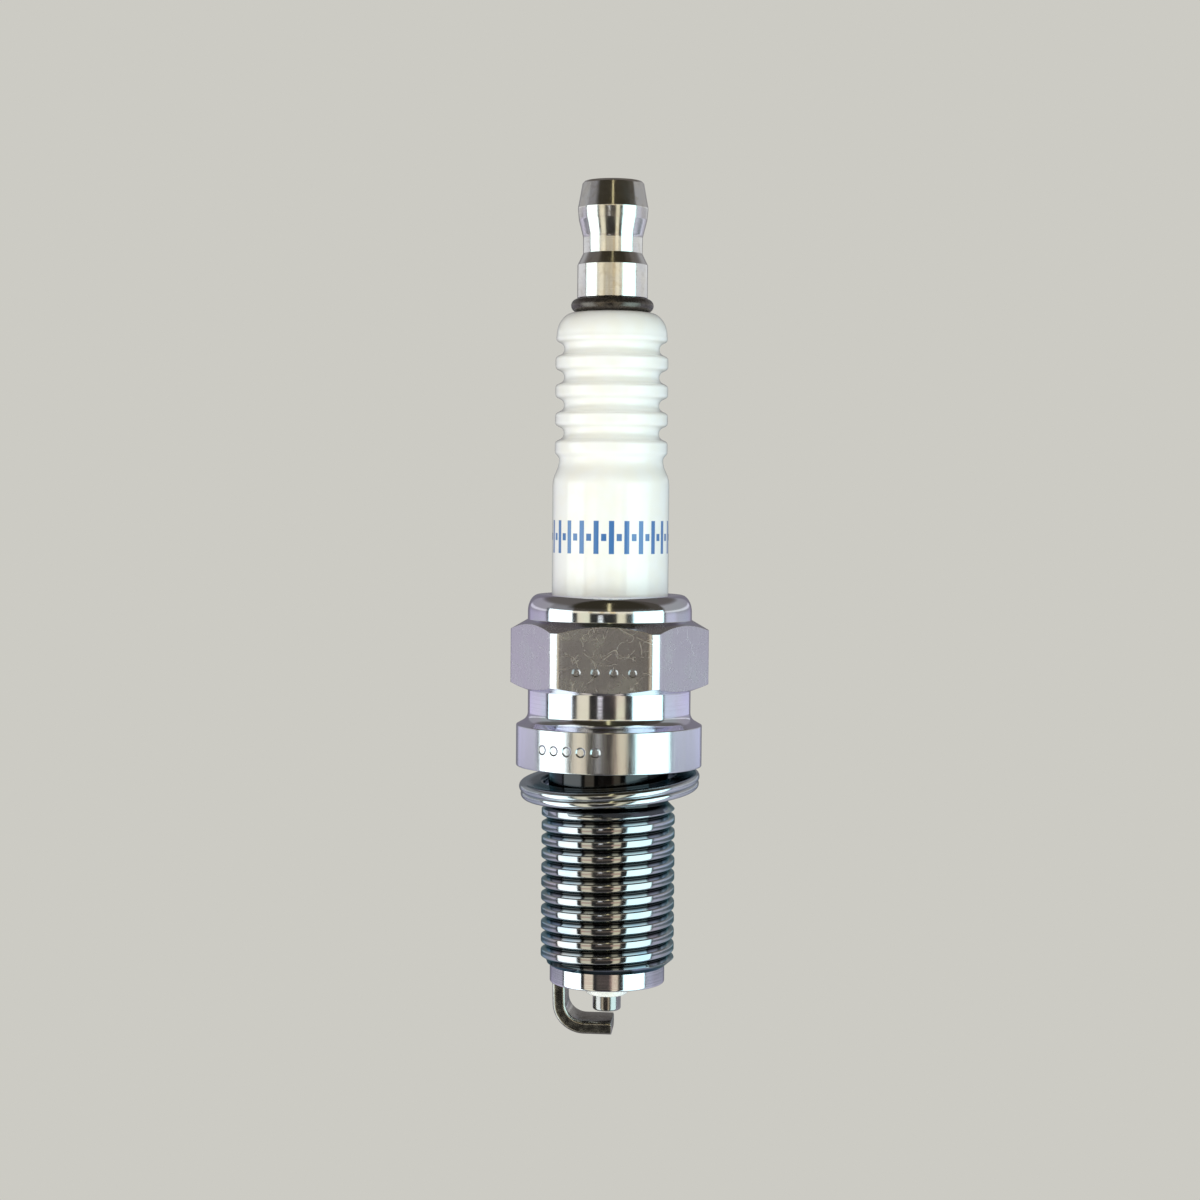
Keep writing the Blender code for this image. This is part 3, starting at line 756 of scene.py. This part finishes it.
def scratches(graph, place, scale, seed):
    """Thin random lines, 1 on a line and 0 elsewhere."""
    moved = graph.add(
        "ShaderNodeMapping", None, Vector=place, Location=(seed, seed * 0.7, seed * 0.3)
    ).outputs[0]
    cells = graph.noise(moved, scale, 1.0, 0.4)
    lines = graph.ramp(graph.maths("ABSOLUTE", graph.maths("SUBTRACT", cells, 0.5)), 0.004, 0.0)
    broken = graph.ramp(graph.noise(moved, scale * 4.0, 2.0, 0.5), 0.48, 0.58)
    return graph.maths("MULTIPLY", lines, broken)


def plated_metal(name, colour, tints, roughness, marks, edge_tint=(1, 1, 1), shade=None):
    """Bright plating with turning marks round it, faint colour patches and smudges.

    shade is (low, high, least): radii in millimetres between which painted shade darkens the
    plating towards the axis, down to the least share of its colour.
    """
    material, graph, shader, place = new_material(name, colour, roughness, 1.0)
    cloud = graph.noise(place, 420.0, 3.0)
    base = colour
    for tint, low, high, scale in tints:
        patch = graph.ramp(graph.noise(place, scale, 2.0), low, high)
        base = graph.mix(patch, base, tint)
    # painted shade: the plating darkens towards the axis, in thread roots and between the gasket
    # and flange
    if shade:
        painted_shade = painted_shade_share(graph, split(graph, place), shade)
        base = graph.mix(painted_shade, tuple(shade[2] * channel for channel in colour), base)
    graph.feed(shader.inputs["Base Color"], base)
    shader.inputs["Specular Tint"].default_value = (*edge_tint, 1.0)
    rough = graph.ramp(cloud, 0.3, 0.7, roughness * 0.75, roughness * 1.35)
    graph.feed(shader.inputs["Roughness"], rough)
    lines = stretched(graph, place, (60.0, 60.0, 9000.0))
    turning = graph.noise(lines, 1.0, 3.0, 0.6)
    graph.feed(shader.inputs["Normal"], graph.bump(turning, marks, 0.02 * MM))
    return material


def hexagon_metal():
    """Plated flats: draw marks, criss-cross scratches, scuffs and a row of punched dots."""
    colour = (0.74, 0.72, 0.74)
    material, graph, shader, place = new_material("hexagon_plating", colour, 0.2, 1.0)
    parts = split(graph, place)
    draw = graph.noise(stretched(graph, place, (5200.0, 5200.0, 260.0)), 1.0, 3.0, 0.6)
    scuff = graph.ramp(graph.noise(place, 420.0, 8.0, 0.6), 0.40, 0.75)
    lines = scratches(graph, place, 180.0, 0.0)
    for scale, seed in ((240.0, 0.013), (310.0, 0.031), (390.0, 0.052), (450.0, 0.077)):
        lines = graph.maths("MAXIMUM", lines, scratches(graph, place, scale, seed))
    tone = graph.mix(scuff, colour, (0.78, 0.79, 0.78))
    tone = graph.mix(graph.ramp(draw, 0.35, 0.75, 0.0, 0.3), tone, (0.62, 0.60, 0.63))
    graph.feed(shader.inputs["Base Color"], graph.mix(lines, tone, (0.92, 0.91, 0.91)))
    shader.inputs["Specular Tint"].default_value = (0.9, 0.88, 0.95, 1.0)
    rough = graph.ramp(scuff, 0.0, 1.0, 0.24, 0.29)
    rougher = graph.maths("ADD", rough, graph.maths("MULTIPLY", lines, 0.14))
    graph.feed(shader.inputs["Roughness"], rougher)
    across = graph.maths("DIVIDE", parts[0], MM)
    height = graph.maths("DIVIDE", parts[2], MM)
    dots = dot_row(graph, across, height, (-2.4, -0.8, 0.8, 2.4), 8.7, 0.33)
    front = graph.ramp(parts[1], -6 * MM, -7 * MM)
    pressed = graph.maths("MULTIPLY", dots, front)
    relief = graph.bump(draw, 0.25, 0.01 * MM)
    relief = graph.bump(lines, 0.35, 0.01 * MM, relief)
    relief = graph.bump(graph.maths("MULTIPLY", pressed, -1.0), 1.0, 0.12 * MM, relief)
    graph.feed(shader.inputs["Normal"], relief)
    return material


def flange_metal():
    """Rolled plating on the flange: soft upright streaks, fine grain and punched dots."""
    colour = (0.80, 0.80, 0.82)
    material, graph, shader, place = new_material("flange_plating", colour, 0.24, 1.0)
    parts = split(graph, place)
    streaks = graph.noise(stretched(graph, place, (2600.0, 2600.0, 180.0)), 1.0, 4.0, 0.65)
    fine = graph.noise(place, 2600.0, 3.0, 0.6)
    tone = graph.mix(graph.ramp(streaks, 0.35, 0.7), (0.76, 0.78, 0.81), (0.84, 0.86, 0.87))
    graph.feed(shader.inputs["Base Color"], tone)
    shader.inputs["Specular Tint"].default_value = (0.85, 0.85, 0.95, 1.0)
    graph.feed(shader.inputs["Roughness"], graph.ramp(streaks, 0.3, 0.7, 0.14, 0.21))
    run = graph.maths("MULTIPLY", angle_round(graph, parts), FLANGE_RADIUS)
    height = graph.maths("DIVIDE", parts[2], MM)
    pressed = dot_row(graph, run, height, (-5.9, -4.6, -3.3, -2.0, -0.7), 1.9, 0.4)
    relief = graph.bump(streaks, 0.16, 0.02 * MM)
    relief = graph.bump(fine, 0.15, 0.01 * MM, relief)
    relief = graph.bump(graph.maths("MULTIPLY", pressed, -1.0), 1.0, 0.2 * MM, relief)
    graph.feed(shader.inputs["Normal"], relief)
    return material


def ceramic():
    """White glazed alumina with a band of plain blue marks printed round it."""
    white = (0.905, 0.893, 0.868)
    material, graph, shader, place = new_material("glazed_alumina", white, 0.3, 0.0)
    mottle = graph.noise(place, 600.0, 3.0)
    base = graph.mix(graph.ramp(mottle, 0.35, 0.7), white, (0.90, 0.875, 0.815))
    blue = printed_marks(graph, split(graph, place))
    base = graph.mix(blue, base, (0.05, 0.17, 0.42))
    graph.feed(shader.inputs["Base Color"], base)
    shader.inputs["Coat Weight"].default_value = 1.0
    shader.inputs["Coat Roughness"].default_value = 0.03
    shader.inputs["Roughness"].default_value = 0.35
    ripple = graph.noise(place, 500.0, 2.0)
    graph.feed(shader.inputs["Coat Normal"], graph.bump(ripple, 0.15, 0.02 * MM))
    return material


def mark_share(graph, phase, rise, middle, half_height):
    """1 on one mark of the scale: a block round the middle of a phase and the print's height."""
    side = graph.maths("ABSOLUTE", graph.maths("SUBTRACT", phase, middle))
    across = graph.ramp(side, 0.15, 0.19, 1.0, 0.0)
    upright = graph.ramp(rise, half_height, half_height + PRINT_EDGE, 1.0, 0.0)
    return graph.maths("MULTIPLY", across, upright)


def printed_marks(graph, parts):
    """A share that is 1 on a plain scale of bars and dots round the barrel."""
    height = graph.maths("DIVIDE", parts[2], MM)
    rise = graph.maths("ABSOLUTE", graph.maths("SUBTRACT", height, PRINT_HEIGHT))
    turns = graph.maths("MULTIPLY", angle_round(graph, parts), PRINT_COUNT / TURN)
    phase = graph.maths("FRACT", turns)
    bar = mark_share(graph, phase, rise, 0.27, BAR_HALF_HEIGHT)
    dot = mark_share(graph, phase, rise, 0.77, DOT_HALF_HEIGHT)
    return graph.maths("MAXIMUM", bar, dot)


def plain_finish(name, colour, roughness, metallic, grain, scale):
    """A simple mottled finish with its own grain, for small and inner pieces."""
    material, graph, shader, place = new_material(name, colour, roughness, metallic)
    cloud = graph.noise(place, scale, 4.0, 0.6)
    darker = tuple(0.72 * channel for channel in colour)
    base = graph.mix(graph.ramp(cloud, 0.35, 0.7), darker, colour)
    graph.feed(shader.inputs["Base Color"], base)
    low, high = roughness * 0.8, min(1.0, roughness * 1.3)
    graph.feed(shader.inputs["Roughness"], graph.ramp(cloud, 0.3, 0.7, low, high))
    graph.feed(shader.inputs["Normal"], graph.bump(cloud, grain, 0.02 * MM))
    return material


# ---------------------------------------------------------------- light and camera

# camera: distances in metres, lens in millimetres
CAMERA_AZIMUTH = radians(3.1)
CAMERA_DISTANCE = 0.2082
CAMERA_HEIGHT = 0.0234
CAMERA_AIM = radians(0.2424)
CAMERA_DIP = radians(2.42)
CAMERA_ROLL = radians(0.46)
CAMERA_LENS = 70.9
BACKDROP_RADIUS = 1.0


def add_camera():
    """The camera, on the plug's front and a little above its middle, looking slightly down."""
    camera = bpy.data.objects.new("camera", bpy.data.cameras.new("camera"))
    bpy.context.scene.collection.objects.link(camera)
    camera.data.lens = CAMERA_LENS
    camera.data.sensor_width = 36.0
    camera.data.clip_start = 0.01
    across = CAMERA_DISTANCE * sin(CAMERA_AZIMUTH)
    back = -CAMERA_DISTANCE * cos(CAMERA_AZIMUTH)
    place = Matrix.Translation((across, back, CAMERA_HEIGHT))
    heading = Matrix.Rotation(CAMERA_AZIMUTH + CAMERA_AIM, 4, "Z")
    dip = Matrix.Rotation(pi / 2 - CAMERA_DIP, 4, "X")
    roll = Matrix.Rotation(CAMERA_ROLL, 4, "Z")
    camera.matrix_world = place @ heading @ dip @ roll
    bpy.context.scene.camera = camera


# Studio panels that the metal reflects, later ones over earlier ones: left, right, bottom, top
# and softness in degrees round the plug, then the colour. The nut reflects those above 3
# degrees, the crimp, hexagon, neck and flange those from 0 to -7, and the thread those below.
PANELS = (
    # room: walls and ceiling
    (-180, 180, -90, 90, 1, (0.24, 0.235, 0.245)),
    (-200, 200, 32, 100, 8, (0.13, 0.118, 0.11)),
    # left and right walls
    (-152, -96, -60, 3, 8, (0.50, 0.48, 0.58)),
    (-152, -96, 3, 30, 4, (0.36, 0.36, 0.37)),
    (-152, -96, 4.2, 8.8, 1.2, (0.78, 0.79, 0.81)),
    (82, 156, -60, 3, 8, (0.48, 0.48, 0.56)),
    (82, 156, 3, 30, 4, (0.36, 0.36, 0.37)),
    (82, 156, 4.2, 8.8, 1.2, (0.78, 0.80, 0.82)),
    (-116, -101, -60, 2, 6, (0.52, 0.50, 0.61)),
    (86, 106, -60, 2, 6, (0.58, 0.59, 0.73)),
    (-152, -96, -7.6, -4.4, 0.5, (0.74, 0.70, 0.86)),
    (82, 156, -7.6, -4.4, 0.5, (0.70, 0.72, 0.88)),
    (-170, -97, -11.4, -7, 0.5, (0.17, 0.18, 0.20)),
    (83, 170, -11.4, -7, 0.5, (0.16, 0.19, 0.205)),
    # dark side of the room, in front
    (-54, 84, -60, 3.2, 2.5, (0.034, 0.032, 0.03)),
    (-54, 84, 3.2, 100, 2.5, (0.075, 0.066, 0.055)),
    (-62, 62, 22, 100, 8, (0.035, 0.03, 0.02)),
    (-100, -52, -60, 14, 3, (0.03, 0.035, 0.04)),
    # two white softboxes
    (-95, -54, -55, 13, 1.0, (1.75, 1.98, 2.0)),
    (-95, -54, -11.4, -7, 0.5, (1.95, 1.95, 1.95)),
    (33, 81, -55, 13, 1.0, (1.5, 2.05, 2.1)),
    # cream and coppery strips between them
    (-46, -28, -60, 12, 1.4, (0.88, 0.83, 0.64)),
    (10, 22, -60, 12, 1.4, (0.88, 0.82, 0.60)),
    (-46, -28, -11.4, -7, 0.5, (0.62, 0.44, 0.36)),
    (-20, 22, -11.4, -7, 0.5, (0.15, 0.12, 0.10)),
    (6, 22, -11.4, -7, 0.5, (0.62, 0.42, 0.33)),
    (-54, 33, 4.5, 12, 1.4, (1.0, 0.92, 0.74)),
    (-14, -8, 6, 12, 1.5, (0.75, 0.60, 0.36)),
    (0, 8, 5, 12, 1.5, (0.95, 0.74, 0.42)),
    (-30, -24, 5, 12, 1.5, (0.70, 0.58, 0.38)),
    (-16, -9.5, -5, -2, 0.8, (1.3, 1.3, 1.3)),
    (-3, 1, 14, 60, 1.0, (1.0, 0.88, 0.50)),
)

# matt fill lamps: place in metres, power in watts and colour
LAMPS = {
    "left_fill": ((-0.4, -0.4, 0.1), 0.78, (0.96, 1.0, 1.0)),
    "right_fill": ((0.42, -0.36, 0.06), 0.80, (0.95, 0.99, 1.0)),
    "low_fill": ((-0.05, -0.4, -0.3), 0.80, (1.0, 0.98, 0.94)),
    "front_fill": ((-0.1, -0.55, 0.25), 0.22, (1.0, 0.98, 0.94)),
    "top_fill": ((0.0, -0.22, 0.5), 0.5, (1.0, 0.975, 0.94)),
}
LAMP_SIZE = 0.3


def panel_share(graph, across, raised, edges, soft):
    """1 on a panel and 0 off it, by the direction's angles across and up, in degrees."""
    left, right, low, high = edges
    share = graph.ramp(across, left - soft, left + soft)
    for value, start, end in (
        (across, right + soft, right - soft),
        (raised, low - soft, low + soft),
        (raised, high + soft, high - soft),
    ):
        share = graph.maths("MULTIPLY", share, graph.ramp(value, start, end))
    return share


def add_world():
    """A studio of soft panels, placed by direction and turned to face the camera."""
    world = bpy.data.worlds.new("studio")
    bpy.context.scene.world = world
    world.use_nodes = True
    graph = Graph(world.node_tree)
    background = world.node_tree.nodes["Background"]
    direction = graph.add("ShaderNodeTexCoord").outputs["Generated"]
    turned = graph.add(
        "ShaderNodeVectorRotate",
        {"rotation_type": "Z_AXIS"},
        Vector=direction,
        Angle=-CAMERA_AZIMUTH,
    )
    parts = split(graph, turned.outputs[0])
    across = graph.maths("DEGREES", angle_round(graph, parts))
    raised = graph.maths("DEGREES", graph.maths("ARCSINE", parts[2]))
    colour = PANELS[0][-1]
    for *edges, soft, tone in PANELS[1:]:
        share = panel_share(graph, across, raised, edges, soft)
        colour = graph.mix(share, colour, tone)
    graph.feed(background.inputs[0], colour)
    background.inputs[1].default_value = 1.0


def add_backdrop():
    """A pale surround that only the camera sees, so that the panels' light passes through it."""
    bpy.ops.mesh.primitive_uv_sphere_add(segments=64, ring_count=32, radius=BACKDROP_RADIUS)
    backdrop = bpy.context.object
    backdrop.name = "backdrop"
    for ray in ("diffuse", "glossy", "transmission", "shadow"):
        setattr(backdrop, "visible_" + ray, False)
    material, _graph, shader, _place = new_material("backdrop", (0.0, 0.0, 0.0), 1.0, 0.0)
    shader.inputs["Specular IOR Level"].default_value = 0.0
    shader.inputs["Emission Color"].default_value = (0.605, 0.597, 0.552, 1.0)
    shader.inputs["Emission Strength"].default_value = 1.0
    backdrop.data.materials.append(material)


def add_lamp(name, place, power, colour):
    """A soft lamp that only lights matt surfaces, aimed at the middle of the plug."""
    lamp = bpy.data.lights.new(name, "AREA")
    lamp.size = LAMP_SIZE
    lamp.energy = power
    lamp.color = colour
    holder = bpy.data.objects.new(name, lamp)
    bpy.context.scene.collection.objects.link(holder)
    aim = Vector((0, 0, 0.02)) - Vector(place)
    facing = aim.to_track_quat("-Z", "Y").to_matrix().to_4x4()
    holder.matrix_world = Matrix.Translation(place) @ facing
    holder.visible_glossy = False
    holder.visible_camera = False


# ---------------------------------------------------------------- assembly

plating = plated_metal(
    "bright_plating",
    (0.80, 0.81, 0.84),
    [((0.80, 0.77, 0.86), 0.45, 0.7, 260.0), ((0.76, 0.84, 0.86), 0.5, 0.75, 330.0)],
    0.10,
    0.12,
    (0.85, 0.82, 0.95),
)
# the thread's plating is a darker, bluer copy of the bright plating; its darkness is painted
# shade for the thread's close turns
shaded_thread_plating = plated_metal(
    "shaded_thread_plating",
    (0.56, 0.57, 0.585),
    [((0.46, 0.52, 0.58), 0.45, 0.7, 240.0), ((0.58, 0.53, 0.52), 0.5, 0.75, 330.0)],
    0.09,
    0.05,
    (0.5, 0.72, 0.76),
    # painted shade in the thread roots
    (5.42, 5.72, 0.10),
)
nut_plating = plated_metal(
    "nut_plating",
    (0.86, 0.85, 0.83),
    [((0.90, 0.87, 0.80), 0.45, 0.7, 500.0), ((0.80, 0.77, 0.72), 0.52, 0.7, 1400.0)],
    0.15,
    0.1,
)
gasket_plating = plated_metal(
    "gasket_plating",
    (0.66, 0.69, 0.71),
    [((0.56, 0.62, 0.65), 0.45, 0.7, 400.0)],
    0.11,
    0.1,
    (0.7, 0.75, 0.8),
    # painted shade on the gasket's inner part, between it and the flange
    (6.6, 7.3, 0.3),
)
electrode_metal = plated_metal(
    "electrode_nickel",
    (0.42, 0.41, 0.40),
    [((0.34, 0.33, 0.31), 0.5, 0.75, 700.0)],
    0.14,
    0.1,
)
strap_metal = plain_finish("strap_nickel", (0.50, 0.48, 0.44), 0.2, 1.0, 0.3, 1800.0)
black_oxide = plain_finish("black_oxide", (0.15, 0.13, 0.115), 0.26, 0.9, 0.03, 3200.0)

make_shell([plating, hexagon_metal(), shaded_thread_plating, flange_metal()])
add_piece(
    "ribbed_insulator",
    surface("insulator_detail", even_angles(160), insulator_outline, closed=True),
    "plug_body",
    [ceramic()],
    "insulator",
)
add_piece(
    "terminal_cap",
    surface("nut_detail", even_angles(144), nut_outline),
    "terminal_nut",
    [nut_plating],
    "terminal_nut",
)
add_piece(
    "stud",
    surface("stud_detail", even_angles(96), stud_outline),
    "plug_body",
    [black_oxide],
    "terminal_stud",
)
add_piece(
    "centre_pin",
    surface("electrode_detail", even_angles(96), electrode_outline),
    "plug_body",
    [electrode_metal],
    "centre_electrode",
)
make_gasket(gasket_plating)
make_strap(strap_metal)

INNER = {
    "insulator_seat_washer": ((0.50, 0.50, 0.50), 0.4, 1.0),
    "lower_packing_ring": ((0.55, 0.55, 0.55), 0.35, 1.0),
    "upper_packing_ring": ((0.55, 0.55, 0.55), 0.35, 1.0),
    "talc_packing": ((0.80, 0.80, 0.76), 0.9, 0.0),
    "centre_electrode_core": ((0.75, 0.38, 0.24), 0.3, 1.0),
    "lower_glass_seal": ((0.12, 0.12, 0.13), 0.3, 0.0),
    "upper_glass_seal": ((0.12, 0.12, 0.13), 0.3, 0.0),
    "resistor": ((0.16, 0.15, 0.14), 0.7, 0.0),
}
for node, (colour, roughness, metallic) in INNER.items():
    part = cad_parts[node]
    finish = plain_finish(node + "_finish", colour, roughness, metallic, 0.3, 1500.0)
    part.data.materials.clear()
    part.data.materials.append(finish)

add_camera()
add_world()
add_backdrop()
for lamp_name, settings in LAMPS.items():
    add_lamp(lamp_name, *settings)
bpy.context.scene.view_settings.view_transform = "Standard"
